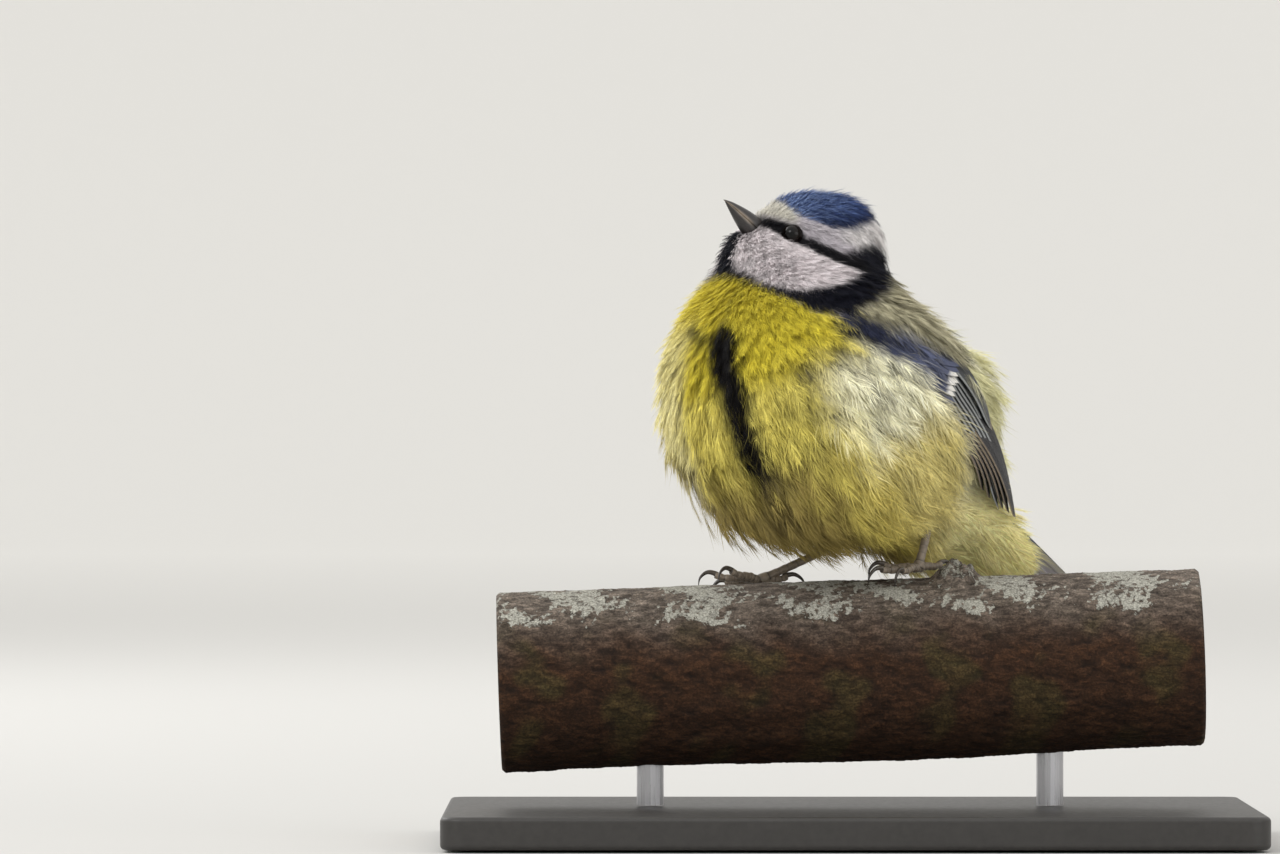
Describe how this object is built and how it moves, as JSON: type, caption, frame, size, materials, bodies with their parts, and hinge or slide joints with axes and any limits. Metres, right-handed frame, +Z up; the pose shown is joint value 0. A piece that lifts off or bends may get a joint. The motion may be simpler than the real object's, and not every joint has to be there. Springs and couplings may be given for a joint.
{
  "type": "life-size blue tit model on a branch perch",
  "caption": "Still life-size blue tit with fluffed plumage, gripping a cut branch held on rods over a flat display base.",
  "frame": {"origin": "middle of the underside of the stand's base, on the surface it stands on", "axes": "+X along the perch, +Z up, -Y towards the front of the stand; the bird's breast faces -X and -Y"},
  "size_m": [0.15, 0.11, 0.1197],
  "materials": {
    "plumage": "soft yellow, white, blue and blue-black feather",
    "flight_feathers": "grey-blue vaned feather",
    "bill": "smooth dark horn",
    "eye": "polished, wet-looking",
    "leg": "scaly blue-grey skin",
    "claw": "smooth dark horn",
    "bark": "rough bark with crusts of pale lichen",
    "stand_base": "satin dark grey",
    "stand_rod": "brushed"
  },
  "bodies": {
    "root": {"head": "plumage", "neck": "plumage", "trunk": "plumage", "thigh_left": "plumage", "thigh_right": "plumage", "wing_left": "flight_feathers", "wing_right": "flight_feathers", "tail": "flight_feathers", "bill_upper": "bill", "bill_lower": "bill", "eye_left": "eye", "eye_right": "eye", "foot_left": "leg", "foot_right": "leg", "claw_left_inner": "claw", "claw_left_middle": "claw", "claw_left_outer": "claw", "claw_left_hind": "claw", "claw_right_inner": "claw", "claw_right_middle": "claw", "claw_right_outer": "claw", "claw_right_hind": "claw", "perch": "bark", "stand_base": "stand_base", "stand_rod_1": "stand_rod", "stand_rod_2": "stand_rod"}
  },
  "joints": []
}
